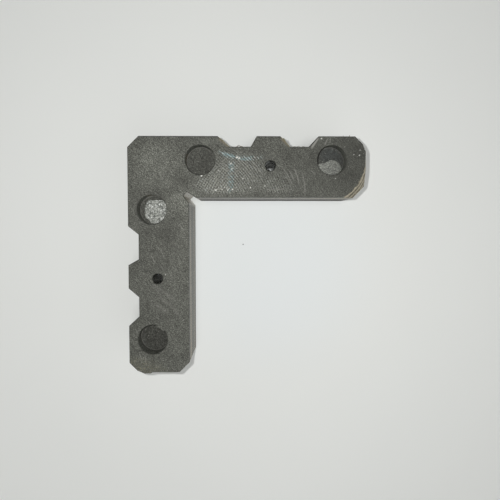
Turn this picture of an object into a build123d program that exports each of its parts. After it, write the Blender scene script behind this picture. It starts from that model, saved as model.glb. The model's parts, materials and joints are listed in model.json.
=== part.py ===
import os
from math import degrees, radians, sqrt, tan
from build123d import *

# Corner bracket: one L-shaped block, machined all over, that lies on its underside.
# The origin is on the underside, where the two outer faces would meet at a sharp corner.
# One arm runs along +X and the other along -Y. "Along" is measured from the outer corner
# down the length of an arm, and "across" from the outer face of that arm towards the inside.

# Overall sizes, in millimetres
arm_length = 80.0
arm_width = 20.5
thickness = 23.0

# Corners, seen from above
corner_chamfer = 3.7
inner_end_chamfer = 3.9
end_chamfer = 2.65
end_facet_along = 1.0
end_facet_across = 2.4

# Nub that the saw left on the end of the lower arm, past the arm's own length
saw_nub = 0.4
saw_nub_across = 7.2
saw_nub_run = 0.5

# Notches in the outer face of each arm, with a tooth between them
notch_depth = 3.5
near_notch_to_end = 49.85
near_notch_mouth = 13.15
near_lead_in_right_arm = 4.05
near_lead_in_lower_arm = 2.8
near_run_out = 2.0
tooth_width = 7.9
far_notch_mouth = 12.8
far_lead_in_right_arm = 3.2
far_lead_in_lower_arm = 3.0
far_run_out = 3.25

# Blind round pockets, two on each arm
pocket_diameter = 10.0
pocket_depth = 5.5
pocket_across_right_arm = 7.85
pocket_across_lower_arm = 8.0
near_pocket_to_notch_right_arm = 5.9
near_pocket_to_notch_lower_arm = 5.65
far_pocket_to_end = 11.4

# Through holes, one on each arm
screw_hole_diameter = 3.5
screw_hole_past_notch = 4.55
screw_hole_across = 9.75

# Relief slot cut into the inner corner
relief_depth = 1.7
relief_end_width = 1.8
relief_mouth_right_arm = 2.2
relief_mouth_lower_arm = 1.75

# Worn bevel on the inner end corner of the right arm
worn_along = 7.0
worn_across = 10.3
worn_radius = 15.1
worn_slope = 50.0

# Edge breaks
edge_break = 0.25
rim_break = 0.25

# Stations along an arm, measured from the outer corner
near_notch_start = arm_length - near_notch_to_end
near_notch_end = near_notch_start + near_notch_mouth
far_notch_start = near_notch_end + tooth_width
far_notch_end = far_notch_start + far_notch_mouth
near_pocket_right_arm = near_notch_start - near_pocket_to_notch_right_arm
near_pocket_lower_arm = near_notch_start - near_pocket_to_notch_lower_arm
far_pocket_along = arm_length - far_pocket_to_end
screw_hole_along = near_notch_end + screw_hole_past_notch


def on_right_arm(along, across):
    """Plan position of a point on the arm that runs along +X."""
    return (along, -across)


def on_lower_arm(along, across):
    """Plan position of a point on the arm that runs along -Y."""
    return (across, -along)


def arm_outline(on_arm, near_lead_in, far_lead_in, end):
    """One arm's outline, from the corner chamfer out along the notches and round its end."""
    corners = [
        (corner_chamfer, 0),
        (near_notch_start, 0),
        (near_notch_start + near_lead_in, notch_depth),
        (near_notch_end - near_run_out, notch_depth),
        (near_notch_end, 0),
        (far_notch_start, 0),
        (far_notch_start + far_lead_in, notch_depth),
        (far_notch_end - far_run_out, notch_depth),
        (far_notch_end, 0),
        (end - end_facet_along - end_chamfer, 0),
        (end - end_facet_along, end_chamfer),
        (end, end_chamfer + end_facet_across),
        (end, arm_width - inner_end_chamfer),
        (end - inner_end_chamfer, arm_width),
    ]
    return [on_arm(along, across) for along, across in corners]


with BuildPart() as corner_bracket:
    # The plan of the block
    with BuildSketch():
        with BuildLine():
            right_arm = arm_outline(
                on_right_arm, near_lead_in_right_arm, far_lead_in_right_arm, arm_length
            )
            lower_arm = arm_outline(
                on_lower_arm, near_lead_in_lower_arm, far_lead_in_lower_arm, arm_length + saw_nub
            )
            Polyline(*right_arm, (arm_width, -arm_width), *reversed(lower_arm), close=True)
        make_face()

        # Past the nub the end of the lower arm is cut back to the arm's own length
        with BuildLine():
            Polyline(
                on_lower_arm(arm_length + saw_nub, saw_nub_across),
                on_lower_arm(arm_length, saw_nub_across + saw_nub_run),
                on_lower_arm(arm_length, arm_width),
                on_lower_arm(arm_length + saw_nub, arm_width),
                close=True,
            )
        make_face(mode=Mode.SUBTRACT)

        # The relief slot runs in on the diagonal, a little narrower at its end
        slot_end = arm_width - relief_depth / sqrt(2)
        half_width = relief_end_width / 2 / sqrt(2)
        with BuildLine():
            Polyline(
                (arm_width + relief_mouth_right_arm, -arm_width),
                (slot_end + half_width, half_width - slot_end),
                (slot_end - half_width, -slot_end - half_width),
                (arm_width, -arm_width - relief_mouth_lower_arm),
                (arm_width + relief_mouth_right_arm, -arm_width - relief_mouth_lower_arm),
                close=True,
            )
        make_face(mode=Mode.SUBTRACT)
    extrude(amount=thickness)

    # The sharp edges are broken all round both flat faces
    chamfer(corner_bracket.faces().filter_by(Axis.Z).edges(), length=edge_break)

    # Pockets sunk from the top, and holes right through
    with BuildSketch(Plane.XY.offset(thickness)):
        with Locations(
            on_right_arm(near_pocket_right_arm, pocket_across_right_arm),
            on_right_arm(far_pocket_along, pocket_across_right_arm),
            on_lower_arm(near_pocket_lower_arm, pocket_across_lower_arm),
            on_lower_arm(far_pocket_along, pocket_across_lower_arm),
        ):
            Circle(pocket_diameter / 2)
    extrude(amount=-pocket_depth, mode=Mode.SUBTRACT)

    with Locations(
        on_right_arm(screw_hole_along, screw_hole_across),
        on_lower_arm(screw_hole_along, screw_hole_across),
    ):
        Hole(screw_hole_diameter / 2)

    # Every round rim has its sharp edge broken, on top and underneath
    circles = corner_bracket.edges().filter_by(GeomType.CIRCLE).group_by(Axis.Z)
    chamfer(circles[0] + circles[-1], length=rim_break)

    # The worn bevel is part of a cone about an upright axis, so its upper edge is an arc
    with BuildLine(Plane.XY.offset(thickness), mode=Mode.PRIVATE):
        worn_edge = RadiusArc(
            on_right_arm(arm_length, arm_width - worn_across),
            on_right_arm(arm_length - worn_along, arm_width),
            worn_radius,
        )
    cone_centre = worn_edge.arc_center
    sharp_corner = Vector(*on_right_arm(arm_length, arm_width), thickness)
    worn_reach = (sharp_corner - cone_centre).length - worn_radius
    worn_drop = worn_reach * tan(radians(worn_slope))
    outward = worn_edge @ 1 - cone_centre
    with BuildSketch(Plane(cone_centre, x_dir=outward, z_dir=outward.cross(Vector(0, 0, 1)))):
        with BuildLine():
            Polyline(
                (worn_radius, 0),
                (worn_radius + worn_reach, 0),
                (worn_radius + worn_reach, -worn_drop),
                close=True,
            )
        make_face()
    revolve(
        axis=Axis(cone_centre, (0, 0, 1)),
        revolution_arc=degrees(worn_edge.length / worn_radius),
        mode=Mode.SUBTRACT,
    )

corner_bracket.part.label = "corner_bracket"

os.makedirs("parts", exist_ok=True)
export_step(corner_bracket.part, "parts/corner_bracket.step")
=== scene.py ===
"""Dresses the corner bracket: the machined surface with its wear, the residue in two pockets,
the frayed edges, and the sheet of paper, lamps and camera round it.

Everything is in metres in the part's own frame. Places on the bracket are written in
millimetres from the outer corner: X to the right along one arm, Y up the picture, so the
other arm runs to minus Y, and Z up from the paper.
"""
import json
import math

import bpy
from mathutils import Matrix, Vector, noise


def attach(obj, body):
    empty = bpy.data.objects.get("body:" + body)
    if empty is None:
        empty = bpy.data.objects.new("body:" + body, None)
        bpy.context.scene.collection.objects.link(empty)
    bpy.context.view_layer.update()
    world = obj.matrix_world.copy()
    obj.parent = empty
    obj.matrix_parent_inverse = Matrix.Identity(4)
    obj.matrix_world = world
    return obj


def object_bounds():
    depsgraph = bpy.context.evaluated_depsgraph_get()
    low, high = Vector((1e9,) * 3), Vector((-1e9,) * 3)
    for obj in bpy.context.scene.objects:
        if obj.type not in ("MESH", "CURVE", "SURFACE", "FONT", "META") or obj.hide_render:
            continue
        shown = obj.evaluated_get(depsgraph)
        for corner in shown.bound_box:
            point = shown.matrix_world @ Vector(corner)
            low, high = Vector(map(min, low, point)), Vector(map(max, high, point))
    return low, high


MM = 0.001

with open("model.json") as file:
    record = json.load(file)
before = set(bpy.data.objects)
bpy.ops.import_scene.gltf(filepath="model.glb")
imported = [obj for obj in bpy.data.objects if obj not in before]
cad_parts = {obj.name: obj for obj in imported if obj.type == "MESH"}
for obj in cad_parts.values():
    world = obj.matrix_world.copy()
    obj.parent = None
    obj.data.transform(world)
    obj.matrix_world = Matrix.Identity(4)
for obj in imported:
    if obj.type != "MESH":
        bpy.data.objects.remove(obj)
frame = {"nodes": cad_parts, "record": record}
cad_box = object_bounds()
bracket = frame["nodes"]["corner_bracket"]
arm_length = cad_box[1].x / MM
top_height = cad_box[1].z / MM

mounts = {mount["name"]: mount for mount in frame["record"]["mounts"]}


def middle_of(mount_name):
    """Where a pocket or hole is, seen from above, in millimetres."""
    x, y = mounts[mount_name]["pos_m"][:2]
    return (x / MM, y / MM)


# Pockets
pocket_radius = mounts["near_pocket_right"]["dims"]["r_mm"]
pocket_depth = 5.5
pocket_floor = top_height - pocket_depth
near_pocket_right = middle_of("near_pocket_right")
far_pocket_right = middle_of("far_pocket_right")
near_pocket_lower = middle_of("near_pocket_lower")
far_pocket_lower = middle_of("far_pocket_lower")

# Screw holes
screw_hole_right = middle_of("screw_hole_right")
screw_hole_lower = middle_of("screw_hole_lower")
screw_hole_wall = 1.7

# How far the rim and foot of a pocket, and the wall of a hole, reach to each side of it
pocket_ring = 0.5
screw_hole_ring = 0.8

# The pockets are nearly black where the lamp beside the lens doesn't reach, so their floors
# and walls carry a painted shadow there, on the outline of that lamp's real shadow. The first
# value is the place straight under that lamp. What would come past a pocket's wall, if it moved
# the second value's share of the way there for each millimetre of depth, lies in the painted shadow.
lamp_shadow_side = (27.7, -24.5)
lamp_shadow_lean = 0.0058

# Faces are told apart by the upward part of their normal
level_from = 0.95
sloping_from = 0.3
sloping_to = 0.9
upright_to = 0.2

# The top face with its broken edges lies this near the top, the inner walls are past this far
# from the outer faces, and the broken edge at the end of an arm is this near its end
top_layer = 1.0
inner_side = 19.0
end_layer = 0.5

# The slot in the inner corner
slot_middle = (20.2, -20.2)
slot_reach = 7.0

# The worn bevel: the upright axis that it is round, its radius there, how far it is torn past
# that, and how far along X and along X minus Y its end corner begins
bevel_centre = (65.12, -7.62)
bevel_radius = 15.1
bevel_tear = 0.35
bevel_from_x = 60.0
bevel_from_corner = 88.0

# Colours, as plain linear values
composite_grey = (0.0612, 0.0632, 0.0548)
scuffed_grey = (0.235, 0.232, 0.212)
scratch_shadow = (0.018, 0.018, 0.016)
chipped_tan = (0.175, 0.148, 0.108)
fibre_tan = (0.33, 0.287, 0.21)
torn_olive = (0.150, 0.137, 0.080)
torn_brown = (0.105, 0.098, 0.074)
worn_tan = (0.36, 0.325, 0.245)
# White of bright specks and of painted glints, then colours of painted glints and cyan sheen
fibre_and_glint_white = (0.62, 0.62, 0.58)
glint_cyan = (0.33, 0.46, 0.48)
glint_grey = (0.34, 0.37, 0.37)
sheen_cyan = (0.15, 0.33, 0.37)
damp_grey = (0.040, 0.045, 0.0445)
olive_fibre = (0.19, 0.183, 0.125)
# Painted light on the slot's lower side
slot_painted_light = (0.72, 0.67, 0.58)
crust_dark = (0.095, 0.102, 0.089)
crust_pale = (0.395, 0.405, 0.37)
crust_pit = (0.07, 0.07, 0.065)
crust_spark = (0.88, 0.90, 0.87)
glue_grey = (0.116, 0.120, 0.103)
glue_rim = (0.32, 0.32, 0.30)
frayed_dark = (0.07, 0.065, 0.05)
frayed_tan = (0.20, 0.18, 0.14)
paper_white = (0.815, 0.828, 0.80)
paper_shade = (0.800, 0.828, 0.822)
crumb_grey = (0.10, 0.10, 0.10)
room_white = (1.0, 1.0, 0.99)


# Wiring helpers


def is_wire(value):
    """Whether a value is another node's output and not a plain number, vector or colour."""
    return isinstance(value, bpy.types.NodeSocket)


class Wiring:
    """Adds nodes to one node tree. Wherever a value is asked for, a node's output may be given."""

    def __init__(self, tree):
        self.tree = tree

    def join(self, socket, value):
        if is_wire(value):
            self.tree.links.new(value, socket)
        else:
            socket.default_value = value

    def add(self, kind, values=(), **settings):
        node = self.tree.nodes.new(kind)
        for name, setting in settings.items():
            setattr(node, name, setting)
        for name, value in dict(values).items():
            self.join(node.inputs[name], value)
        return node

    def math(self, operation, *values):
        return self.add("ShaderNodeMath", enumerate(values), operation=operation).outputs[0]

    def vector(self, operation, *values):
        node = self.add("ShaderNodeVectorMath", enumerate(values), operation=operation)
        gives_number = operation in ("LENGTH", "DOT_PRODUCT")
        return node.outputs["Value" if gives_number else "Vector"]

    def scaled(self, vector, factor):
        node = self.add("ShaderNodeVectorMath", {0: vector, "Scale": factor}, operation="SCALE")
        return node.outputs[0]

    def above(self, value, limit):
        return self.math("GREATER_THAN", value, limit)

    def below(self, value, limit):
        return self.math("LESS_THAN", value, limit)

    def less(self, value, other):
        return self.math("SUBTRACT", value, other)

    def adding(self, value, factor, base):
        """The base with so many times the value added to it."""
        return self.math("MULTIPLY_ADD", value, factor, base)

    def gathered(self, operation, values):
        """Several values taken together, one after the other."""
        result = values[0]
        for value in values[1:]:
            result = self.math(operation, result, value)
        return result

    def greatest(self, *values):
        return self.gathered("MAXIMUM", values)

    def product(self, *values):
        return self.gathered("MULTIPLY", values)

    def total(self, *values):
        return self.gathered("ADD", values)

    def ramp(self, value, low, high, to_low=0.0, to_high=1.0):
        """Goes smoothly from to_low to to_high while the value goes from low to high."""
        values = {"Value": value, "From Min": low, "From Max": high, "To Min": to_low, "To Max": to_high}
        return self.add("ShaderNodeMapRange", values, interpolation_type="SMOOTHSTEP").outputs[0]

    def blend(self, amount, colour, other):
        """The colour with the other one laid over it by an amount from 0 to 1."""
        node = self.add("ShaderNodeMix", data_type="RGBA")
        self.join(node.inputs[0], amount)
        for socket, value in ((node.inputs[6], colour), (node.inputs[7], other)):
            self.join(socket, value if is_wire(value) else (*value, 1.0))
        return node.outputs[2]

    def shade(self, colour, tone):
        """The colour made lighter or darker: a tone of 1 leaves it as it is."""
        node = self.add("ShaderNodeHueSaturation", {"Value": tone})
        self.join(node.inputs["Color"], colour if is_wire(colour) else (*colour, 1.0))
        return node.outputs[0]

    def parts(self, vector):
        """How far a vector reaches along X, Y and Z."""
        axes = ((1, 0, 0), (0, 1, 0), (0, 0, 1))
        return [self.vector("DOT_PRODUCT", vector, axis) for axis in axes]

    def level_gap(self, position, centre):
        """The way from a centre to a position, seen from above."""
        return self.vector("MULTIPLY", self.vector("SUBTRACT", position, centre), (1.0, 1.0, 0.0))

    def noise(self, vector, scale, detail=2.0, roughness=0.5):
        values = {"Vector": vector, "Scale": scale, "Detail": detail, "Roughness": roughness}
        return self.add("ShaderNodeTexNoise", values).outputs["Fac"]

    def group(self, tree, **values):
        """Places a shader node group. A value's name has _ for each space in its socket's name."""
        node = self.add("ShaderNodeGroup", node_tree=tree)
        for name, value in values.items():
            self.join(node.inputs[name.replace("_", " ")], value)
        return node.outputs


def new_group(name, inputs, outputs):
    """An empty shader node group. Inputs give each socket's starting value, and a position is
    always the first. Outputs are plain masks, tones or heights."""
    tree = bpy.data.node_groups.new(name, "ShaderNodeTree")
    for label, start in {"Position": (0.0, 0.0, 0.0), **inputs}.items():
        kind = "NodeSocketVector" if isinstance(start, tuple) else "NodeSocketFloat"
        tree.interface.new_socket(name=label, in_out="INPUT", socket_type=kind).default_value = start
    for label in outputs:
        tree.interface.new_socket(name=label, in_out="OUTPUT", socket_type="NodeSocketFloat")
    wiring = Wiring(tree)
    return wiring, wiring.add("NodeGroupInput").outputs, wiring.add("NodeGroupOutput").inputs


# Effects that several finishes share


def soft_spot_group():
    """A patch that fades to nothing at its edge: an ellipse whose long way lies along Direction."""
    starts = {"Centre": (0.0, 0.0, 0.0), "Direction": (1.0, 0.0, 0.0), "Length": 10.0, "Width": 10.0}
    w, given, result = new_group("soft spot", starts, ["Mask"])
    away = w.level_gap(given["Position"], given["Centre"])
    lengthways = w.vector("DOT_PRODUCT", away, given["Direction"])
    square = w.product(lengthways, lengthways)
    rest = w.less(w.vector("DOT_PRODUCT", away, away), square)
    along = w.math("DIVIDE", w.product(square, 4.0), w.product(given["Length"], given["Length"]))
    across = w.math("DIVIDE", w.product(rest, 4.0), w.product(given["Width"], given["Width"]))
    reach = w.math("SQRT", w.greatest(w.total(along, across), 0.0))
    w.join(result["Mask"], w.ramp(reach, 0.25, 1.0, 1.0, 0.0))
    return w.tree


def scratch_group():
    """A thin scratch from start to end, seen from above. It bows sideways and fades at its ends."""
    starts = {"Start": (0.0, 0.0, 0.0), "End": (1.0, 0.0, 0.0), "Bow": 0.0, "Width": 0.2}
    w, given, result = new_group("curved scratch", starts, ["Mask"])
    run = w.vector("SUBTRACT", given["End"], given["Start"])
    length = w.vector("LENGTH", run)
    way = w.vector("NORMALIZE", run)
    away = w.level_gap(given["Position"], given["Start"])
    share = w.math("DIVIDE", w.vector("DOT_PRODUCT", away, way), length)
    sideways = w.vector("DOT_PRODUCT", away, w.vector("CROSS_PRODUCT", (0.0, 0.0, 1.0), way))
    bulge = w.product(share, w.less(1.0, share), 4.0, given["Bow"])
    gap = w.math("ABSOLUTE", w.less(sideways, bulge))
    line = w.ramp(gap, 0.0, given["Width"], 1.0, 0.0)
    ends = w.product(w.ramp(share, -0.02, 0.25), w.ramp(share, 0.75, 1.02, 1.0, 0.0))
    w.join(result["Mask"], w.product(line, ends))
    return w.tree


def grain_group():
    """Fine even grain of a cut surface: a tone round zero and a height from 0 to 1."""
    w, given, result = new_group("fine grain", {"Size": 0.5}, ["Tone", "Height"])
    position = given["Position"]
    scale = w.math("DIVIDE", 1.0, given["Size"])
    coarse = w.noise(position, scale, 1.0, 0.6)
    elsewhere = w.vector("ADD", position, (7.3, 1.9, 4.1))
    fine = w.noise(elsewhere, w.product(scale, 1.9), 1.0, 0.7)
    both = w.total(w.product(coarse, 0.55), w.product(fine, 0.45))
    even = w.product(w.less(both, 0.5), 5.0)
    w.join(result["Tone"], w.adding(w.product(even, even), 0.8, even))
    w.join(result["Height"], both)
    return w.tree


def cutter_rings_group():
    """Rings left by a cutter that turned about a centre, from 0 to 1, uneven along their length."""
    starts = {"Centre": (0.0, 0.0, 0.0), "Pitch": 0.7}
    w, given, result = new_group("cutter rings", starts, ["Lines"])
    away = w.level_gap(given["Position"], given["Centre"])
    wander = w.product(w.noise(given["Position"], 0.35, 2.0), 0.8)
    turns = w.math("DIVIDE", w.total(w.vector("LENGTH", away), wander), given["Pitch"])
    wave = w.math("SINE", w.product(turns, 2.0 * math.pi))
    w.join(result["Lines"], w.adding(wave, 0.5, 0.5))
    return w.tree


def specks_group():
    """Scattered small specks. Spacing lies between places that may hold one, Share is how many do."""
    starts = {"Spacing": 1.5, "Size": 0.2, "Share": 0.3}
    w, given, result = new_group("loose specks", starts, ["Mask"])
    density = w.math("DIVIDE", 1.0, given["Spacing"])
    cells = w.add("ShaderNodeTexVoronoi", {"Vector": given["Position"], "Scale": density})
    distance = w.product(cells.outputs["Distance"], given["Spacing"])
    dot = w.ramp(distance, w.product(given["Size"], 0.4), given["Size"], 1.0, 0.0)
    draw = w.add("ShaderNodeSeparateColor", {0: cells.outputs["Color"]}).outputs
    chosen = w.below(draw[0], given["Share"])
    strength = w.adding(draw[1], 0.7, 0.3)
    w.join(result["Mask"], w.product(dot, chosen, strength))
    return w.tree


def worn_edge_group():
    """Where the surface turns over an edge: 1 on the edge, 0 on the flats, broken up by noise."""
    w, given, result = new_group("worn edge", {"Reach": 0.3}, ["Mask"])
    rounded = w.add("ShaderNodeBevel", {"Radius": w.product(given["Reach"], MM)}, samples=4)
    facing = w.add("ShaderNodeNewGeometry").outputs["Normal"]
    turn = w.ramp(w.vector("DOT_PRODUCT", rounded.outputs[0], facing), 0.995, 0.93)
    patchy = w.ramp(w.noise(given["Position"], 0.9, 3.0, 0.65), 0.38, 0.62)
    w.join(result["Mask"], w.product(turn, patchy))
    return w.tree


def hairlines_group():
    """Fine threads that lie one way: a tone round zero, and hairlines from 0 to 1 in loose patches."""
    starts = {"Direction": (1.0, 0.0, 0.0), "Length": 5.0, "Width": 0.5}
    w, given, result = new_group("hairlines", starts, ["Lines", "Tone"])
    position = given["Position"]
    bend = w.product(w.noise(position, 0.12, 1.0), 5.0)
    along = w.vector("DOT_PRODUCT", position, given["Direction"])
    side = w.vector("CROSS_PRODUCT", (0.0, 0.0, 1.0), given["Direction"])
    across = w.total(w.vector("DOT_PRODUCT", position, side), bend)
    lengthways = w.math("DIVIDE", along, given["Length"])
    sideways = w.math("DIVIDE", across, given["Width"])
    stretched = w.add("ShaderNodeCombineXYZ", {0: lengthways, 1: sideways}).outputs[0]
    threads = w.noise(stretched, 1.0, 1.0, 0.5)
    patches = w.ramp(w.noise(position, 0.22, 2.0, 0.6), 0.35, 0.65, 0.25, 1.0)
    w.join(result["Lines"], w.product(w.ramp(threads, 0.50, 0.68), patches))
    w.join(result["Tone"], w.product(w.less(threads, 0.5), 5.0))
    return w.tree


def ring_line_group():
    """A thin ring about an upright axis."""
    starts = {"Centre": (0.0, 0.0, 0.0), "Radius": 5.0, "Width": 0.2}
    w, given, result = new_group("ring line", starts, ["Mask"])
    away = w.level_gap(given["Position"], given["Centre"])
    gap = w.math("ABSOLUTE", w.less(w.vector("LENGTH", away), given["Radius"]))
    w.join(result["Mask"], w.ramp(gap, 0.0, given["Width"], 1.0, 0.0))
    return w.tree


def level_line_group():
    """A level line round upright walls. It fades over Width and wanders up and down by Wander."""
    starts = {"Height": 15.0, "Width": 2.0, "Wander": 3.0}
    w, given, result = new_group("level line", starts, ["Mask"])
    position = given["Position"]
    wander = w.product(w.less(w.noise(position, 0.12, 3.0, 0.65), 0.5), given["Wander"])
    height = w.vector("DOT_PRODUCT", position, (0, 0, 1))
    gap = w.math("ABSOLUTE", w.total(w.less(height, given["Height"]), wander))
    w.join(result["Mask"], w.ramp(gap, 0.0, given["Width"], 1.0, 0.0))
    return w.tree


def wall_bands_group():
    """Level bands on an upright wall, a tone round zero that fades in and out along the wall."""
    w, given, result = new_group("wall bands", {"Pitch": 2.0}, ["Tone"])
    stretched = w.vector("MULTIPLY", given["Position"], (0.04, 0.04, 1.0))
    scale = w.math("DIVIDE", 1.0, given["Pitch"])
    bands = w.less(w.noise(stretched, scale, 3.0, 0.6), 0.5)
    w.join(result["Tone"], w.product(bands, 4.0))
    return w.tree


soft_spot = soft_spot_group()
scratch = scratch_group()
fine_grain = grain_group()
cutter_rings = cutter_rings_group()
loose_specks = specks_group()
worn_edge = worn_edge_group()
hairlines = hairlines_group()
ring_line = ring_line_group()
level_line = level_line_group()
wall_bands = wall_bands_group()


def start_finish(name):
    """A new material: its wiring, its shader, and the place on the part in millimetres."""
    material = bpy.data.materials.new(name)
    material.use_nodes = True
    w = Wiring(material.node_tree)
    shader = material.node_tree.nodes["Principled BSDF"]
    place = w.scaled(w.add("ShaderNodeTexCoord").outputs["Object"], 1.0 / MM)
    return material, w, shader, place


def add_relief(w, shader, height, strength):
    """Bumps the surface by a height in millimetres."""
    bump = w.add("ShaderNodeBump", {"Height": height, "Distance": MM, "Strength": strength})
    w.join(shader.inputs["Normal"], bump.outputs[0])


def at(x, y, z=top_height):
    """A place on the part in millimetres, on the top face unless a height is given."""
    return (x, y, z)


def heading(turn):
    """The direction that lies turn degrees round from +X towards +Y."""
    return (math.cos(math.radians(turn)), math.sin(math.radians(turn)), 0.0)


def patch(w, place, centre, length, width, turn=0.0):
    """One soft patch, with its long way so many degrees round from +X."""
    outputs = w.group(
        soft_spot, Position=place, Centre=at(*centre), Direction=heading(turn), Length=length, Width=width
    )
    return outputs["Mask"]


def scratch_line(w, place, start, end, bow, width):
    """One scratch from start to end."""
    outputs = w.group(scratch, Position=place, Start=at(*start), End=at(*end), Bow=bow, Width=width)
    return outputs["Mask"]


def rings(w, place, centre, pitch):
    """Cutter rings about a centre."""
    return w.group(cutter_rings, Position=place, Centre=at(*centre), Pitch=pitch)["Lines"]


def threads(w, place, turn, length, width):
    """Threads that lie so many degrees round from +X: their lines and their tone."""
    return w.group(hairlines, Position=place, Direction=heading(turn), Length=length, Width=width)


def bands_of(w, place, pitch):
    """Level bands up a wall."""
    return w.group(wall_bands, Position=place, Pitch=pitch)["Tone"]


def level_at(w, place, height, width, wander):
    """A level line at a height."""
    return w.group(level_line, Position=place, Height=height, Width=width, Wander=wander)["Mask"]


def specks(w, place, spacing, size, share):
    """Specks scattered over the whole surface."""
    return w.group(loose_specks, Position=place, Spacing=spacing, Size=size, Share=share)["Mask"]


# The machined composite


# Slow changes of tone over the top face, partly painted light: the lighter patches round the
# inner corner stand in for the sheen there and the darker ones at the right arm's far end for its
# shade, the rest is uneven tone. Each has centre, length, width, turn in degrees, and how much
# lighter or darker the face is in the middle of the patch
light_and_tone_patches = [
    ((9.0, -9.0), 26.0, 22.0, 20.0, 0.40),
    ((10.0, -7.5), 16.0, 12.0, -25.0, 0.32),
    ((36.0, -12.0), 30.0, 20.0, 0.0, 0.30),
    ((28.5, -11.5), 10.0, 7.0, 0.0, 0.18),
    ((29.0, -17.0), 22.0, 9.0, 0.0, 0.30),
    ((42.0, -17.8), 34.0, 5.0, 0.0, 0.12),
    ((47.0, -16.0), 24.0, 8.0, 0.0, 0.12),
    ((19.0, -21.5), 12.0, 13.0, 0.0, 0.60),
    ((76.0, -9.0), 30.0, 30.0, 0.0, -0.36),
    ((55.0, -6.0), 10.0, 8.0, 0.0, -0.15),
    ((62.5, -7.0), 9.0, 9.0, 0.0, -0.20),
    ((12.5, -34.0), 8.0, 14.0, 10.0, -0.20),
    ((18.5, -30.0), 6.0, 18.0, 0.0, 0.14),
    ((16.5, -45.0), 9.0, 30.0, 0.0, 0.17),
    ((16.8, -65.0), 10.0, 34.0, 0.0, 0.20),
    ((12.0, -77.0), 20.0, 8.0, 0.0, 0.12),
    ((4.0, -30.0), 8.0, 40.0, 0.0, -0.05),
    ((5.0, -56.0), 9.0, 9.0, 0.0, -0.15),
    ((27.0, -2.0), 9.0, 5.0, 0.0, 0.22),
    ((5.5, -11.5), 9.0, 7.0, 0.0, 0.16),
    ((13.5, -15.5), 8.0, 7.0, 0.0, 0.16),
    ((24.5, -15.2), 11.0, 5.0, 0.0, 0.14),
    ((13.8, -23.5), 9.0, 11.0, 0.0, 0.30),
    ((6.0, -49.8), 10.0, 9.0, 0.0, 0.17),
    ((6.2, -45.0), 6.0, 6.0, 0.0, -0.16),
    ((39.5, -14.5), 9.0, 7.0, 0.0, -0.18),
    ((1.5, -23.0), 6.0, 11.0, 0.0, 0.13),
    ((2.6, -69.0), 5.0, 14.0, 0.0, 0.08),
]

# Light scratches on the top face: start, end, sideways bow, width and strength
light_scratches = [
    ((51.2, -9.8), (55.4, -16.6), 0.45, 0.26, 0.45),
    ((53.8, -11.0), (55.8, -15.0), 0.30, 0.26, 0.55),
    ((55.5, -10.2), (57.6, -16.6), 0.40, 0.26, 0.65),
    ((58.2, -11.3), (59.5, -20.0), 0.50, 0.26, 0.55),
    ((61.3, -11.2), (62.9, -13.1), 0.10, 0.24, 0.45),
    ((51.8, -11.4), (54.4, -15.6), 0.25, 0.24, 0.30),
    ((45.8, -17.8), (54.0, -17.7), 0.00, 0.40, 0.28),
    ((61.4, -4.3), (64.2, -0.2), 0.00, 0.62, 1.00),
    ((41.5, -8.2), (46.0, -13.9), 0.30, 0.30, 0.40),
    ((39.8, -7.6), (43.8, -12.2), 0.25, 0.25, 0.22),
    ((7.6, -39.8), (9.0, -42.8), 0.10, 0.22, 0.50),
    ((9.4, -38.6), (10.2, -41.2), 0.10, 0.22, 0.25),
    ((10.6, -38.0), (12.4, -41.6), 0.20, 0.22, 0.25),
    ((16.6, -30.4), (17.6, -29.2), 0.00, 0.25, 0.45),
    ((17.6, -29.2), (19.2, -32.0), -0.35, 0.30, 0.45),
    ((17.9, -26.3), (19.6, -24.6), 0.00, 0.16, 0.30),
    ((66.0, -3.2), (67.3, -0.6), 0.10, 0.34, 0.60),
    ((67.7, -2.4), (68.1, -0.4), 0.00, 0.28, 0.45),
    ((10.5, -42.9), (12.0, -45.2), 0.10, 0.35, 0.25),
    ((10.0, -73.4), (12.9, -70.2), -0.40, 0.30, 0.60),
    ((5.2, -73.8), (5.6, -77.4), 0.10, 0.30, 0.45),
    ((3.4, -73.0), (4.8, -76.4), -0.20, 0.30, 0.30),
    ((7.0, -49.6), (15.6, -55.4), 0.40, 1.30, 0.20),
    ((9.0, -50.6), (14.0, -57.6), -0.50, 0.80, 0.18),
    ((8.4, -56.2), (13.6, -60.2), 0.30, 1.20, 0.17),
    ((12.6, -55.0), (17.4, -61.4), 0.30, 1.00, 0.16),
]

# Dark scratches, the same way
dark_scratches = [
    ((17.3, -26.4), (19.2, -24.2), 0.00, 0.35, 0.22),
    ((45.0, -19.2), (60.0, -19.1), 0.00, 0.50, 0.24),
    ((22.0, -19.4), (44.0, -19.4), 0.00, 0.40, 0.12),
]

# Dark lines on a pocket's floor, mostly painted shadow along its wall and under the flake, the same way
floor_shadow_lines = [
    ((7.7, -65.0), (11.1, -67.0), 0.00, 0.30, 0.90),
    ((4.6, -66.2), (6.2, -67.2), 0.00, 0.25, 0.60),
    ((3.4, -67.4), (6.8, -64.0), 0.64, 0.60, 0.95),
]

# Thin bright cyan lines of painted glint, the same way
cyan_glint_lines = [
    ((30.2, -5.1), (37.2, -7.6), 0.10, 0.24, 0.95),
    ((36.0, -7.2), (40.6, -8.3), 0.00, 0.24, 0.40),
    ((40.2, -8.0), (45.4, -6.4), -0.20, 0.24, 0.20),
    ((34.2, -12.6), (35.2, -9.2), 0.00, 0.35, 0.40),
]

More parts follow.
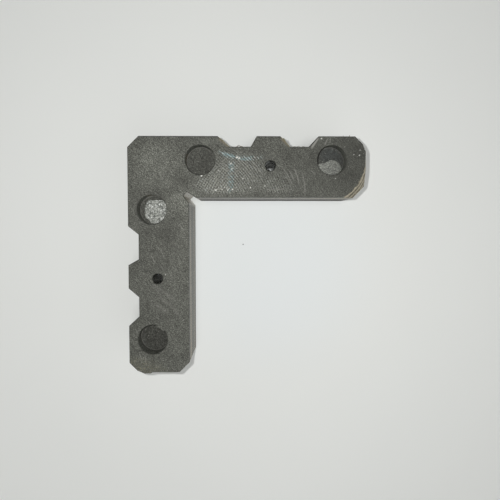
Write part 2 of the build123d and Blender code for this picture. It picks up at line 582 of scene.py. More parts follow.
# Single bright specks on the top face: centre, size and strength
bright_specks = [
    ((77.8, -6.3), 0.45, 0.7), ((75.9, -6.1), 0.45, 0.45), ((78.0, -4.6), 0.40, 0.5),
    ((65.0, -0.8), 0.45, 1.0), ((69.8, -14.1), 0.40, 0.5), ((12.5, -46.5), 0.40, 0.6),
    ((30.5, -11.5), 0.40, 0.5), ((24.8, -13.2), 0.55, 1.6), ((38.7, -14.1), 0.40, 0.8),
    ((41.2, -17.2), 0.45, 1.0), ((46.0, -16.6), 0.40, 0.6), ((29.6, -18.0), 0.50, 1.3),
    ((35.2, -17.8), 0.45, 1.2), ((33.7, -17.7), 0.40, 0.8), ((36.7, -7.1), 0.60, 1.3),
    ((37.4, -7.4), 0.60, 0.9), ((34.6, -9.2), 0.60, 0.7), ((35.0, -10.9), 0.50, 0.6),
]

# Chipped edges that show the tan core: start, end, sideways bow, width and strength
tan_edges = [
    ((30.4, -0.6), (34.4, -3.6), 0.0, 0.9, 0.80),
    ((51.2, -0.3), (54.7, -3.7), 0.0, 0.9, 0.80),
]

# The row of painted glints and the bare end of the lower arm: centre, length, width and turn
glint_row = ((32.0, -17.8), 13.0, 2.6, -3.0)
bare_end = ((5.0, -78.5), 22.0, 9.0, -12.0)

# The damp patch on a pocket's floor, and the floor that is darker than the rest
damp_patch = ((69.6, -5.8), 15.0, 12.0)
dark_floor = (far_pocket_lower, 20.0, 20.0)

# Centres of the two sets of cutter rings, and the patches where they cross, of which the last
# is fainter: centre, length and width
first_ring_centre = (14.0, -32.0)
second_ring_centre = (56.0, -32.0)
crossing_patches = [
    ((37.0, -12.0), 26.0, 19.0),
    ((29.0, -16.0), 20.0, 11.0),
]
faint_crossing = ((50.0, -16.0), 22.0, 11.0)

# The streak of painted cyan sheen and the band that crosses it: start, end, sideways bow and width
sheen_streak = ((29.8, -4.9), (46.0, -6.8), -1.4, 1.1)
sheen_band = ((34.9, -5.5), (34.3, -19.5), 0.1, 1.5)

# Heights at which lighter layers of the cloth come out on the inner walls, and where along each
# arm the high one grows stronger
high_layer = 17.9
low_layer = 6.0
grows_along_x = (20.0, 75.0)
grows_along_y = (-20.0, -40.0)

# Stretches over which the first set of rings gives way to the second, the face is rubbed
# smoother, and the painted shade at the foot of the right arm's inner wall fades upwards
rings_change_x = (30.0, 38.0)
rubbed_x = (52.0, 66.0)
shaded_foot_z = (5.0, 14.0)


def strongest_scratch(w, place, marks):
    """How strongly a place is marked by any of several scratches."""
    result = 0.0
    for *line, strength in marks:
        result = w.greatest(result, w.product(scratch_line(w, place, *line), strength))
    return result


def strongest_speck(w, place, spots):
    """How strongly a place is marked by any of several small specks, each a little longer than wide."""
    result = 0.0
    for centre, size, strength in spots:
        mask = patch(w, place, centre, size * 1.7, size * 1.3, 30.0)
        result = w.greatest(result, w.product(mask, strength))
    return result


def sum_of_patches(w, place, patches):
    """How much lighter or darker several overlapping patches make a place."""
    result = 0.0
    for *spot, strength in patches:
        result = w.adding(patch(w, place, *spot), strength, result)
    return result


def nearest_pocket(w, position):
    """How far away the middle of the nearest pocket is, seen from above."""
    result = 1000.0
    for centre in (near_pocket_right, far_pocket_right, near_pocket_lower, far_pocket_lower):
        away = w.level_gap(position, at(*centre))
        result = w.math("MINIMUM", result, w.vector("LENGTH", away))
    return result


class Surface:
    """A place on the bracket, the way it faces, and a mask for each kind of face and feature.

    The masks are worked out in the material, so every effect can ask which faces it lies on.
    """

    def __init__(self, w, place):
        self.place = place
        self.x, self.y, self.z = w.parts(place)
        normal = w.add("ShaderNodeNewGeometry").outputs["True Normal"]
        self.facing_x, self.facing_y, self.facing_up = w.parts(normal)
        high = w.above(self.z, top_height - top_layer)
        sloping = w.product(w.above(self.facing_up, sloping_from), w.below(self.facing_up, sloping_to))
        self.level = w.above(self.facing_up, level_from)
        self.upright = w.below(w.math("ABSOLUTE", self.facing_up), upright_to)
        self.on_top = w.product(self.level, high)
        self.on_floor = w.less(self.level, self.on_top)
        self.broken = w.product(sloping, high)
        self.mark_pockets(w)
        self.mark_holes(w)
        self.mark_inner_corner(w)
        self.mark_worn_bevel(w)

    def mark_pockets(self, w):
        """The pockets' rims and feet, the space inside them and the painted shadow of the lamp beside the
        lens at their sides.
        """
        away = nearest_pocket(w, self.place)
        from_wall = w.math("ABSOLUTE", w.less(away, pocket_radius))
        self.pocket_rings = w.ramp(from_wall, 0.0, pocket_ring, 1.0, 0.0)
        self.sunk = w.product(w.below(away, pocket_radius + 0.1), w.below(self.z, top_height - 0.4))
        self.rims = w.product(self.pocket_rings, self.broken)
        self.edges = w.less(self.broken, self.rims)
        # Painted shadow: places that the lamp beside the lens can't see past a pocket's rim
        lean = w.product(w.less(top_height, self.z), lamp_shadow_lean)
        towards_lamp = w.vector("SUBTRACT", at(*lamp_shadow_side), self.place)
        leaned = w.vector("ADD", self.place, w.scaled(towards_lamp, lean))
        past_wall = w.ramp(nearest_pocket(w, leaned), pocket_radius - 0.15, pocket_radius + 0.05)
        self.painted_lamp_shadow = w.product(past_wall, self.sunk)

    def mark_holes(self, w):
        """The walls of the two screw holes."""
        holes = 0.0
        for centre in (screw_hole_right, screw_hole_lower):
            ring = w.group(
                ring_line, Position=self.place, Centre=at(*centre),
                Radius=screw_hole_wall, Width=screw_hole_ring,
            )["Mask"]
            holes = w.greatest(holes, ring)
        self.hole_walls = w.product(holes, self.upright)

    def mark_inner_corner(self, w):
        """The slot in the inner corner, and the inner wall of each arm."""
        self.slot_zone = patch(w, self.place, slot_middle, slot_reach, slot_reach)
        self.slot_walls = w.product(self.slot_zone, self.upright)
        self.lower_inner = w.product(w.above(self.facing_x, 0.9), w.above(self.x, inner_side))
        self.right_inner = w.product(w.below(self.facing_y, -0.9), w.below(self.y, -inner_side))

    def mark_worn_bevel(self, w):
        """The worn bevel at the end of the right arm, with a torn upper edge."""
        from_axis = w.level_gap(self.place, at(*bevel_centre))
        torn_in = w.adding(w.noise(self.place, 0.8, 2.0, 0.6), 1.4, w.vector("LENGTH", from_axis))
        self.bevel = w.product(
            w.above(self.facing_up, sloping_from),
            w.above(self.x, bevel_from_x),
            w.above(w.less(self.x, self.y), bevel_from_corner),
            w.above(torn_in, bevel_radius + bevel_tear),
        )


def slow_tone(w, surface):
    """Clouds all over, and the patches of the top face with their painted sheen and shade: how light a
    place is, round 1.
    """
    cloud = w.product(w.less(w.noise(surface.place, 0.17, 3.0, 0.50), 0.5), 0.9)
    patches = w.product(sum_of_patches(w, surface.place, light_and_tone_patches), surface.on_top)
    return w.total(1.0, cloud, patches)


def handling_hairs(w, surface):
    """Hairlines left by handling, which lie two ways over the top face."""
    one_way = threads(w, surface.place, turn=38.0, length=3.0, width=0.45)["Lines"]
    other_way = threads(w, surface.place, turn=78.0, length=5.0, width=0.60)["Lines"]
    return w.product(w.total(one_way, other_way), surface.on_top)


def crossed_rings(w, surface):
    """Rings of the face cutter between the near pocket and the hole: the first set's lines, the
    tone where both sets cross, and the zone where that shows."""
    place = surface.place
    first_set = rings(w, place, first_ring_centre, pitch=0.78)
    second_set = rings(w, place, second_ring_centre, pitch=0.85)
    zone = w.product(surface.on_top, w.greatest(
        *(patch(w, place, *spot) for spot in crossing_patches),
        w.product(patch(w, place, *faint_crossing), 0.5),
    ))
    by_pocket = w.ramp(surface.x, *rings_change_x, 1.0, 0.0)
    hatch = w.total(
        w.product(first_set, w.adding(by_pocket, -0.50, 1.0)),
        w.product(second_set, w.adding(by_pocket, 0.60, 0.40)),
        -0.72,
    )
    return first_set, hatch, zone


def fine_tone(w, surface, grain, hairs, hatch, hatch_zone):
    """Grain, threads of the cloth, hairlines and cutter rings: how light a place is, round 1."""
    fine = w.adding(grain["Tone"], 1.60, 0.865)
    cloth = threads(w, surface.place, turn=-48.0, length=3.0, width=0.42)["Tone"]
    fine = w.adding(w.product(cloth, surface.level), 0.26, fine)
    fine = w.adding(hairs, 0.20, fine)
    uneven = w.ramp(w.noise(surface.place, 0.75, 3.0, 0.75), 0.36, 0.62, 0.25, 1.9)
    fine = w.adding(w.product(hatch, hatch_zone, uneven), 0.95, fine)

    # Rubbed smoother towards the far end of the right arm
    contrast = w.ramp(surface.x, *rubbed_x, 1.05, 0.80)
    return w.adding(w.less(fine, 1.0), contrast, 1.0)


def layer_lines(w, surface):
    """Where a lighter layer of the cloth comes out on the two inner walls."""
    high_line = level_at(w, surface.place, high_layer, width=3.2, wander=1.6)
    low_line = level_at(w, surface.place, low_layer, width=3.0, wander=3.0)
    grows_down = w.ramp(surface.y, *grows_along_y, 0.40, 1.0)
    grows_along = w.ramp(surface.x, *grows_along_x, 0.25, 1.0)
    lower_lines = w.greatest(w.product(high_line, grows_down), w.product(low_line, 0.45))
    return w.total(
        w.product(lower_lines, surface.lower_inner),
        w.product(high_line, grows_along, surface.right_inner),
        w.product(w.total(surface.lower_inner, surface.right_inner), 0.16),
    )


def feature_tone(w, surface):
    """How much lighter or darker edges, pockets and holes are than the faces round them. Besides the
    pockets' darker floors, this is painted light and shade: rims, edges and pocket walls by the way
    they face, lighter hole walls and end edge, and the lamp's painted shadow in the pockets."""
    outer = w.above(w.less(surface.facing_y, surface.facing_x), -0.1)
    past_slot = w.less(1.0, w.math("MINIMUM", w.product(surface.slot_zone, 2.0), 1.0))
    outer = w.product(outer, past_slot)
    right_end = w.product(surface.edges, w.above(surface.x, arm_length - end_layer))
    faces_left = w.math("POWER", w.greatest(w.product(surface.facing_x, -1.0), 0.0), 4.0)
    darker_floor = patch(w, surface.place, *dark_floor)
    return w.total(
        # Painted light and shade: rims lighter where they face down the picture, darker where they face up
        # it
        w.product(surface.rims, w.adding(surface.facing_y, -0.60, 0.15)),
        # Painted shade on edges that face the upper left, painted light on the others
        w.product(surface.edges, w.adding(outer, -1.05, 0.55)),
        # Painted highlight on the right arm's end edge
        w.product(right_end, 0.60),
        w.product(surface.on_floor, w.adding(darker_floor, -0.26, -0.32)),
        # Painted light: hole walls and pocket walls lighter, pocket walls most where they face left
        w.product(surface.hole_walls, 1.2),
        w.product(surface.pocket_rings, surface.upright, w.adding(faces_left, 2.0, 0.8)),
        # Painted shadow of the lamp beside the lens
        w.product(surface.painted_lamp_shadow, -0.95),
    )


def with_sheen(w, surface, colour, first_set, hatch_zone):
    """Painted glints along the cutter rings, painted cyan sheen in a thin streak and a band, and bright
    painted flecks in the streak.
    """
    place = surface.place
    crests = w.ramp(first_set, 0.45, 0.95)
    # Painted cyan sheen along a streak and a band
    streak = scratch_line(w, place, *sheen_streak)
    band = scratch_line(w, place, *sheen_band)
    sheen = w.product(
        w.greatest(streak, w.product(band, 0.9)), w.adding(crests, 0.6, 0.10), surface.on_top
    )
    patchy = w.ramp(w.noise(place, 0.8, 3.0, 0.7), 0.40, 0.60)
    colour = w.blend(w.product(sheen, patchy), colour, sheen_cyan)
    # Painted glints on the ring crests in the sheen zone
    glints = w.product(w.ramp(w.noise(place, 1.3, 2.0, 0.75), 0.50, 0.66), crests)
    colour = w.blend(w.product(glints, hatch_zone, 0.55), colour, glint_grey)
    thin = w.product(strongest_scratch(w, place, cyan_glint_lines), surface.on_top)
    dashes = w.adding(crests, 0.65, 0.30)
    shining = w.product(thin, w.ramp(patchy, 0.0, 0.8, 0.10, 1.0), dashes)
    colour = w.blend(shining, colour, glint_cyan)
    # Bright painted flecks in the streak
    flecks = w.ramp(w.noise(place, 1.9, 2.0, 0.7), 0.50, 0.62)
    bright = w.product(streak, surface.on_top, flecks, crests)
    return w.blend(w.product(bright, 0.85), colour, fibre_and_glint_white)


def with_scratches(w, surface, colour):
    """Dark and light scratches and scuffs, and dark lines of painted shadow on a pocket's floor."""
    dark = w.total(
        w.product(strongest_scratch(w, surface.place, dark_scratches), surface.on_top),
        w.product(strongest_scratch(w, surface.place, floor_shadow_lines), surface.on_floor),
    )
    colour = w.blend(dark, colour, scratch_shadow)
    light = w.product(strongest_scratch(w, surface.place, light_scratches), surface.on_top)
    return w.blend(light, colour, scuffed_grey)


def with_specks(w, surface, colour):
    """Single bright specks, a row of painted glints, dust, and the bare olive fibre of the lower arm's end.
    """
    place = surface.place
    bright = w.product(strongest_speck(w, place, bright_specks), surface.on_top)
    colour = w.blend(w.math("MINIMUM", bright, 1.0), colour, fibre_and_glint_white)
    # Painted glints in a row across the sheen zone
    glint_dots = specks(w, place, spacing=0.55, size=0.24, share=0.6)
    row = w.product(patch(w, place, *glint_row), glint_dots, surface.on_top)
    colour = w.blend(row, colour, fibre_and_glint_white)
    dust = specks(w, place, spacing=1.1, size=0.22, share=0.45)
    colour = w.blend(w.product(dust, 0.75), colour, scuffed_grey)
    elsewhere = w.vector("ADD", place, (2.2, 4.4, 0.0))
    bits = w.adding(specks(w, elsewhere, spacing=0.7, size=0.32, share=0.7), 0.85, 0.12)
    return w.blend(w.product(patch(w, place, *bare_end), bits, surface.on_top), colour, olive_fibre)


def with_worn_edges(w, surface, colour):
    """A lighter ring at each pocket's foot outside the painted lamp shadow, the slot's tan walls with
    painted light, and rubbed and chipped edges.
    """
    # The lighter ring is left out where the painted lamp shadow lies
    unshadowed_floor = w.product(surface.on_floor, w.less(1.0, surface.painted_lamp_shadow))
    colour = w.blend(w.product(surface.pocket_rings, unshadowed_floor, 0.25), colour, scuffed_grey)
    # The slot's walls are tan, painted lighter than their shade
    colour = w.blend(w.product(surface.slot_walls, 0.80), colour, worn_tan)
    # Painted light on the slot's lower side
    lower_side = w.product(
        surface.slot_walls, w.above(surface.facing_x, 0.3), w.above(surface.facing_y, 0.3)
    )
    colour = w.blend(w.product(lower_side, 0.85), colour, slot_painted_light)
    rubbed = w.group(worn_edge, Position=surface.place, Reach=0.35)["Mask"]
    colour = w.blend(w.product(rubbed, 0.15), colour, scuffed_grey)
    ragged = w.ramp(w.noise(surface.place, 1.0, 2.0, 0.7), 0.32, 0.52)
    strips = strongest_scratch(w, surface.place, tan_edges)
    return w.blend(w.product(strips, ragged), colour, chipped_tan)


def with_torn_layers(w, surface, colour, layers):
    """The layers of the cloth that the worn bevel cuts through."""
    mottled = w.adding(layers, 0.30, w.noise(surface.place, 1.1, 3.0, 0.75))
    fibrous = w.blend(w.ramp(mottled, 0.48, 0.80), torn_brown, worn_tan)
    return w.blend(w.product(surface.bevel, 0.95), colour, fibrous)


def composite_finish():
    """Dark glass-fibre composite: cut face with grain, cutter rings, scuffs and scratches, banded walls."""
    material, w, shader, place = start_finish("machined composite")
    surface = Surface(w, place)
    grain = w.group(fine_grain, Position=place, Size=0.31)
    hairs = handling_hairs(w, surface)
    first_set, hatch, hatch_zone = crossed_rings(w, surface)
    bands = w.product(bands_of(w, place, pitch=4.0), surface.upright)
    plies = w.product(bands_of(w, place, pitch=0.9), surface.upright)
    # Painted shade at the foot of the right arm's inner wall, also used for its roughness
    shaded_foot = w.product(w.ramp(surface.z, *shaded_foot_z, 1.0, 0.0), surface.right_inner)
    bevel_layers = rings(w, place, bevel_centre, pitch=0.9)

    # How light the composite is, never quite black
    fine = fine_tone(w, surface, grain, hairs, hatch, hatch_zone)
    # The walls' bands, with the painted shade at the right arm's foot
    wall = w.adding(shaded_foot, -0.6, w.adding(plies, 0.15, w.adding(bands, 0.25, 1.0)))
    faces = w.product(w.greatest(slow_tone(w, surface), 0.3), fine, wall)
    tone = w.greatest(w.product(faces, w.total(feature_tone(w, surface), 1.0)), 0.12)

    # Its colour, and all that lies over it
    damp = w.product(patch(w, place, *damp_patch), surface.on_floor)
    colour = w.shade(w.blend(damp, composite_grey, damp_grey), tone)
    bare_layer = w.shade(fibre_tan, w.adding(plies, 0.15, fine))
    bare = w.product(layer_lines(w, surface), w.less(0.95, shaded_foot))
    colour = w.blend(bare, colour, bare_layer)
    colour = with_sheen(w, surface, colour, first_set, hatch_zone)
    colour = with_scratches(w, surface, colour)
    colour = with_specks(w, surface, colour)
    colour = with_worn_edges(w, surface, colour)
    colour = with_torn_layers(w, surface, colour, bevel_layers)
    w.join(shader.inputs["Base Color"], colour)

    # Walls, holes and the crossed rings are smoother. The foot of the right arm's inner wall and
    # the pockets' upper left sides are duller.
    upper_left = w.ramp(w.less(surface.facing_x, surface.facing_y), 0.7, 1.3)
    smoother = w.total(
        w.product(surface.upright, 0.18),
        w.product(surface.slot_walls, 0.16),
        w.product(hatch_zone, 0.10),
        w.product(shaded_foot, -0.22),
        w.product(surface.hole_walls, 0.25),
        w.product(surface.sunk, surface.upright, upper_left, -0.45),
    )
    w.join(shader.inputs["Roughness"], w.less(w.ramp(grain["Height"], 0.3, 0.7, 0.66, 0.54), smoother))
    shader.inputs["Specular IOR Level"].default_value = 0.3
    shader.inputs["Specular Tint"].default_value = (1.0, 0.98, 0.88, 1.0)

    # Heights in millimetres
    relief = w.product(grain["Height"], 0.030)
    relief = w.adding(w.product(hatch, hatch_zone), 0.020, relief)
    relief = w.adding(hairs, 0.006, relief)
    relief = w.adding(w.total(bands, plies), 0.010, relief)
    relief = w.adding(w.product(bevel_layers, surface.bevel), 0.06, relief)
    add_relief(w, shader, relief, 0.6)
    return material


# Residue in two pockets


# Painted light: along X the grey film goes from paler to darker over this stretch
film_light_x = (64.5, 72.0)


def residue_finish():
    """Pale broken crust: bright grains close together with dark pits between them."""
    material, w, shader, place = start_finish("pale broken crust")
    grain = w.group(fine_grain, Position=place, Size=0.55)
    speckle = w.ramp(grain["Height"], 0.41, 0.59)
    colour = w.blend(speckle, crust_dark, crust_pale)
    pits = specks(w, place, spacing=0.8, size=0.26, share=0.45)
    colour = w.blend(w.product(pits, 0.8), colour, crust_pit)
    elsewhere = w.vector("ADD", place, (3.1, 5.7, 0.0))
    sparks = specks(w, elsewhere, spacing=0.70, size=0.30, share=0.70)
    colour = w.blend(sparks, colour, crust_spark)
    w.join(shader.inputs["Base Color"], colour)
    shader.inputs["Roughness"].default_value = 0.65
    add_relief(w, shader, w.product(speckle, 0.08), 0.7)
    return material


def glue_finish():
    """Thin grey film of old glue, nearly even, lighter at its rim, with painted light that makes it paler
    to the left.
    """
    material, w, shader, place = start_finish("grey glue film")
    grain = w.group(fine_grain, Position=place, Size=0.42)
    film_painted_light = w.ramp(w.vector("DOT_PRODUCT", place, (1.0, 0.0, 0.0)), *film_light_x, 0.17, -0.10)
    tone = w.total(w.product(grain["Tone"], 1.25), film_painted_light, 1.0)
    rim = w.group(worn_edge, Position=place, Reach=0.3)["Mask"]
    colour = w.blend(w.product(rim, 0.7), w.shade(glue_grey, tone), glue_rim)
    w.join(shader.inputs["Base Color"], colour)
    w.join(shader.inputs["Roughness"], w.ramp(grain["Height"], 0.3, 0.7, 0.62, 0.48))
    add_relief(w, shader, w.product(grain["Height"], 0.02), 0.5)
    return material


def frayed_finish():
    """Loose glass fibre and resin crumbs at the cut edges."""
    material, w, shader, place = start_finish("frayed fibre")
    grain = w.group(fine_grain, Position=place, Size=0.3)
    colour = w.blend(w.ramp(grain["Height"], 0.35, 0.65), frayed_dark, frayed_tan)
    w.join(shader.inputs["Base Color"], colour)
    w.join(shader.inputs["Roughness"], w.ramp(grain["Height"], 0.3, 0.7, 0.75, 0.6))
    return material


def torn_finish():
    """Torn edge of the cloth, olive where the resin has gone."""
    material, w, shader, place = start_finish("torn edge")
    grain = w.group(fine_grain, Position=place, Size=0.35)
    w.join(shader.inputs["Base Color"], w.shade(torn_olive, w.adding(grain["Tone"], 0.35, 1.0)))
    w.join(shader.inputs["Roughness"], w.ramp(grain["Height"], 0.3, 0.7, 0.80, 0.65))
    add_relief(w, shader, w.product(grain["Height"], 0.05), 0.6)
    return material


# The pieces laid on the bracket


# Rings of points from a crust's rim in to its middle: how far out each is, and how far up
crust_rings = (
    (1.0, 0.0), (1.0, 0.55), (0.985, 0.85), (0.95, 0.97), (0.88, 1.0), (0.78, 1.0),
    (0.66, 1.0), (0.53, 1.0), (0.40, 1.0), (0.27, 1.0), (0.14, 1.0),
)
rim_steps = 10
rim_waves = 2.2
rim_raggedness = 0.10
bump_waves = 2.8

# Plan of the crust and of the film, in millimetres
crust_plan = [
    (5.88, -21.28), (8.38, -21.13), (10.78, -21.18), (12.18, -22.43), (12.93, -24.33),
    (12.48, -26.63), (11.08, -28.33), (8.78, -29.23), (7.08, -29.13), (6.08, -28.03),
    (4.88, -26.73), (4.68, -24.63), (5.08, -22.73),
]
film_plan = [
    (64.03, -9.03), (65.43, -8.43), (67.23, -8.13), (68.63, -7.33), (70.23, -7.23),
    (71.73, -8.23), (72.63, -9.43), (72.83, -10.53), (71.83, -11.93), (69.73, -12.73),
    (67.43, -12.78), (65.43, -11.83), (64.13, -10.33),
]

# Plan of the flake left standing at the rim of the far pocket on the lower arm
flake_plan = [
    (8.75, -63.95), (9.4, -64.45), (10.2, -64.75), (11.0, -65.35), (11.9, -65.75),
    (11.95, -65.2), (11.0, -64.35), (9.9, -63.75),
]

# Torn lips on the sloping edges of two notches: start, end, how far each reaches out at even
# steps along the edge, and the seed of its bumps
near_lip_edge = ((30.5, -0.3), (34.2, -3.5), (0.0, 0.04, 0.14, 0.16, 0.06, 0.03, 0.03, 0.02, 0.0), 2.0)
far_lip_edge = ((51.4, -0.2), (54.5, -3.6), (0.0, 0.02, 0.42, 0.32, 0.16, 0.12, 0.12, 0.10, 0.0), 6.0)
lip_root = 0.3
lip_thickness = 1.0
lip_below_top = 0.1

# Whiskers at the cut edges: the places that each goes through, and its radius
whisker_sides = 6
whisker_taper = 0.75
whisker_paths = [
    ([(36.6, -3.6, 22.8), (36.9, -3.3, 22.8), (37.3, -3.05, 22.7), (37.7, -3.1, 22.7)], 0.17),
    ([(38.2, -3.7, 22.8), (37.8, -3.35, 22.8), (37.4, -3.2, 22.7)], 0.20),
    ([(38.7, -3.6, 22.7), (38.3, -3.4, 22.7), (38.0, -3.3, 22.7)], 0.13),
    ([(55.3, -3.6, 22.8), (56.0, -3.38, 22.8), (56.7, -3.45, 22.8)], 0.10),
    ([(56.8, -3.6, 22.8), (57.3, -3.30, 22.8), (57.9, -3.42, 22.8)], 0.11),
    ([(58.4, -3.6, 22.8), (58.9, -3.38, 22.8), (59.5, -3.50, 22.8)], 0.10),
    ([(72.3, -0.2, 22.8), (72.35, 0.05, 22.8), (72.3, 0.3, 22.8)], 0.12),
    ([(74.3, -0.2, 22.8), (74.5, 0.15, 22.8), (74.45, 0.45, 22.8)], 0.15),
]


def add_mesh(name, points, faces, finish):
    """A smooth-shaded piece with one finish. Its points are in metres."""
    mesh = bpy.data.meshes.new(name)
    mesh.from_pydata(points, [], faces)
    mesh.update()
    mesh.materials.append(finish)
    piece = bpy.data.objects.new(name, mesh)
    bpy.context.scene.collection.objects.link(piece)
    for face in mesh.polygons:
        face.use_smooth = True
    return piece


def smooth_loop(corners, steps):
    """A closed curve through the given plan points, with so many points from each one to the next."""
    count = len(corners)
    loop = []
    for i in range(count):
        before, start, end, after = (Vector(corners[(i + k) % count]) for k in (-1, 0, 1, 2))
        for step in range(steps):
            t = step / steps
            loop.append(
                0.5 * (2 * start + (end - before) * t + (2 * before - 5 * start + 4 * end - after) * t * t
                       + (3 * start - before - 3 * end + after) * t ** 3)
            )
    return loop


def crust(name, corners, base, thickness, bumps, finish, seed):
    """An uneven sheet stuck to a level floor: steep broken rim, bumpy top, closed underneath."""
    rim = smooth_loop(corners, rim_steps)
    middle = sum(rim, Vector((0.0, 0.0))) / len(rim)
    points = []
    for share, lift in crust_rings:
        for spot in rim:
            out = spot - middle
            ragged = noise.noise(Vector((spot.x * rim_waves, spot.y * rim_waves, seed))) * rim_raggedness
            plan = middle + out * share * (1.0 + ragged * share / max(out.length, 1.0))
            rough = noise.noise(Vector((plan.x * bump_waves, plan.y * bump_waves, seed + 5.0)))
            height = base + thickness * lift + rough * bumps * lift
            points.append((plan.x * MM, plan.y * MM, height * MM))
    points.append((middle.x * MM, middle.y * MM, (base + thickness) * MM))

    around = len(rim)
    faces = []
    for ring in range(len(crust_rings) - 1):
        here, inner = ring * around, (ring + 1) * around
        for i in range(around):
            j = (i + 1) % around
            faces.append((here + i, here + j, inner + j, inner + i))
    last = (len(crust_rings) - 1) * around
    faces += [(last + i, last + (i + 1) % around, len(points) - 1) for i in range(around)]
    faces.append(tuple(reversed(range(around))))
    return add_mesh(name, points, faces, finish)


def torn_lip(name, start, end, reaches, seed, finish):
    """A lip torn out past a sloping edge from start to end, reaching out by so much at even steps."""
    start, end = Vector(start), Vector(end)
    way = (end - start).normalized()
    outward = Vector((-way.y, way.x))
    corners = []
    for i, reach in enumerate(reaches):
        spot = start + (end - start) * i / (len(reaches) - 1)
        corners.append(tuple(spot + outward * reach))
    corners += [tuple(root - outward * lip_root) for root in (end, (start + end) / 2, start)]
    base = top_height - lip_below_top - lip_thickness
    return crust(name, corners, base, lip_thickness, bumps=0.05, finish=finish, seed=seed)


def whisker(path, radius):
    """Points and faces of one tapered whisker along a path of places in millimetres."""
    last = len(path) - 1
    points, faces = [], []
    for i, spot in enumerate(path):
        here = Vector(spot)
        ahead = Vector(path[min(i + 1, last)]) - Vector(path[max(i - 1, 0)])
        side = ahead.cross(Vector((0.0, 0.0, 1.0))).normalized()
        up = side.cross(ahead).normalized()
        width = radius * (1.0 - whisker_taper * i / last)
        for k in range(whisker_sides):
            angle = 2.0 * math.pi * k / whisker_sides
            points.append((here + (side * math.cos(angle) + up * math.sin(angle)) * width) * MM)
    for i in range(last):
        here, ahead = i * whisker_sides, (i + 1) * whisker_sides
        for k in range(whisker_sides):
            n = (k + 1) % whisker_sides
            faces.append((here + k, here + n, ahead + n, ahead + k))
    faces.append(tuple(reversed(range(whisker_sides))))
    faces.append(tuple(last * whisker_sides + k for k in range(whisker_sides)))
    return points, faces


def whiskers(name, paths, finish):
    """Several whiskers as one piece: each is a list of places and a radius."""
    points, faces = [], []
    for path, radius in paths:
        more_points, more_faces = whisker(path, radius)
        faces += [tuple(index + len(points) for index in face) for face in more_faces]
        points += more_points
    return add_mesh(name, points, faces, finish)


composite = composite_finish()
torn = torn_finish()
bracket.material_slots[0].material = composite

pale_crust = crust(
    "residue_near_pocket", crust_plan, pocket_floor, thickness=0.45, bumps=0.10,
    finish=residue_finish(), seed=3.0,
)
grey_film = crust(
    "glue_film_far_pocket", film_plan, pocket_floor, thickness=0.25, bumps=0.06,
    finish=glue_finish(), seed=9.0,
)
near_lip = torn_lip("torn_lip_near_notch", *near_lip_edge, torn)
far_lip = torn_lip("torn_lip_far_notch", *far_lip_edge, torn)
flake = crust(
    "rim_flake_far_pocket", flake_plan, top_height - 1.0, thickness=0.93, bumps=0.03,
    finish=composite, seed=4.0,
)
edge_fibres = whiskers("frayed_notch_edges", whisker_paths, frayed_finish())

for piece in (pale_crust, grey_film, near_lip, far_lip, flake, edge_fibres):
    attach(piece, "root")


# Paper, lamps and camera


# Patches of the paper: painted shade where it is a little darker, a cool tint of painted shade
# inside the corner, and a crumb that lies on it, with centre, length and width
painted_shade_on_paper = ((5.0, -80.0, 0.0), 190.0, 190.0)
cool_shade_on_paper = ((46.0, -44.0, 0.0), 110.0, 110.0)
paper_crumb = ((38.7, -37.1, 0.0), 0.9, 0.7)
paper_half_side = 1.5

# Painted light: the paper grows lighter along this stretch of Y less a share of X
paper_light_fade = (60.0, -150.0)
paper_light_lean = -0.3

# The camera's place and its tilt in degrees, and the lamps' places
camera_place = Vector((39.18, -30.03, 191.75)) * MM
camera_tilt = (-2.754, -0.639, 0.024)
beside_lens_place = camera_place + Vector((-11.5, 5.5, 0.0)) * MM
overhead_place = camera_place + Vector((0.0, 0.0, 0.3))
window_place = camera_place + Vector((0.3, -0.3, 0.1))


def paper_finish():
    """Matt white paper with faint clouding, painted light that makes it a little lighter towards the lower
    right, painted shade towards the lower left and a cool tint of painted shade inside the corner.
    """
    material, w, shader, place = start_finish("white paper")
    x, y = w.parts(place)[:2]
    paper_painted_light = w.ramp(w.adding(x, paper_light_lean, y), *paper_light_fade, 0.965, 1.025)
    paper_painted_light = w.adding(patch(w, place, *painted_shade_on_paper), -0.035, paper_painted_light)
    cloud = w.product(w.less(w.noise(place, 0.02, 3.0), 0.5), 0.03)
    grain = w.group(fine_grain, Position=place, Size=0.6)
    tone = w.product(w.total(1.0, cloud, w.product(grain["Tone"], 0.006)), paper_painted_light)
    sheet = w.blend(patch(w, place, *cool_shade_on_paper), paper_white, paper_shade)
    crumb = w.product(patch(w, place, *paper_crumb), 0.75)
    w.join(shader.inputs["Base Color"], w.blend(crumb, w.shade(sheet, tone), crumb_grey))
    shader.inputs["Roughness"].default_value = 0.9
    shader.inputs["Specular IOR Level"].default_value = 0.2
    return material


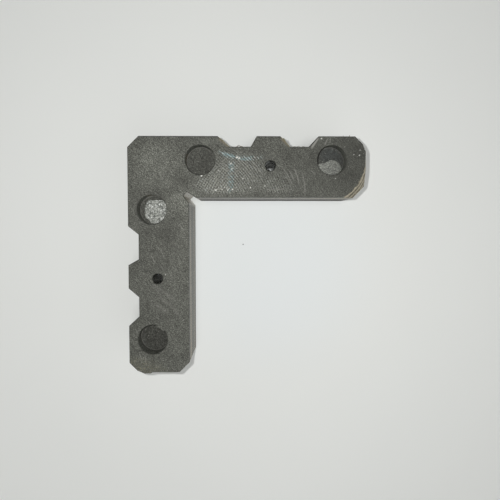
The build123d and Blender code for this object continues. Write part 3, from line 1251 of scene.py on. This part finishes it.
def lay_paper():
    """The sheet that the bracket lies on."""
    half = paper_half_side
    corners = [(-half, -half, 0.0), (half, -half, 0.0), (half, half, 0.0), (-half, half, 0.0)]
    paper = add_mesh("paper", corners, [(0, 1, 2, 3)], paper_finish())


def set_camera():
    """The photo's camera, almost straight above. Its focal length equals the picture's width."""
    camera = bpy.data.cameras.new("camera")
    camera.lens = 36.0
    camera.sensor_width = 36.0
    camera.clip_start = 0.01
    holder = bpy.data.objects.new("camera", camera)
    bpy.context.scene.collection.objects.link(holder)
    holder.location = camera_place
    holder.rotation_euler = [math.radians(angle) for angle in camera_tilt]
    bpy.context.scene.camera = holder


def add_lamp(name, kind, place, strength, lean=(0.0, 0.0)):
    """A lamp that shines straight down, or leans by so many degrees about X and Y."""
    lamp = bpy.data.lights.new(name, kind)
    lamp.energy = strength
    holder = bpy.data.objects.new(name, lamp)
    holder.location = place
    holder.rotation_euler = (math.radians(lean[0]), math.radians(lean[1]), 0.0)
    bpy.context.scene.collection.objects.link(holder)
    return lamp


def set_lamps():
    """A small lamp beside the lens, a soft lamp overhead and a very broad one low on the right."""
    beside_lens = add_lamp("lamp beside the lens", "POINT", beside_lens_place, strength=0.655)
    beside_lens.shadow_soft_size = 1.5 * MM
    overhead = add_lamp("overhead lamp", "SUN", overhead_place, strength=1.02, lean=(3.0, 3.0))
    overhead.angle = math.radians(18.0)
    window = add_lamp("window", "SUN", window_place, strength=0.42, lean=(30.0, 35.0))
    window.angle = math.radians(70.0)


def set_room():
    """A pale room: brighter to the camera and in reflections than the light that it gives."""
    world = bpy.data.worlds.new("pale room")
    world.use_nodes = True
    bpy.context.scene.world = world
    w = Wiring(world.node_tree)
    sky = world.node_tree.nodes["Background"]
    sky.inputs["Color"].default_value = (*room_white, 1.0)
    path = w.add("ShaderNodeLightPath").outputs
    seen = w.greatest(path["Is Camera Ray"], path["Is Glossy Ray"], path["Is Transmission Ray"])
    w.join(sky.inputs["Strength"], w.adding(seen, 0.62, 0.08))


lay_paper()
set_camera()
set_lamps()
set_room()
bpy.context.scene.view_settings.view_transform = "Standard"
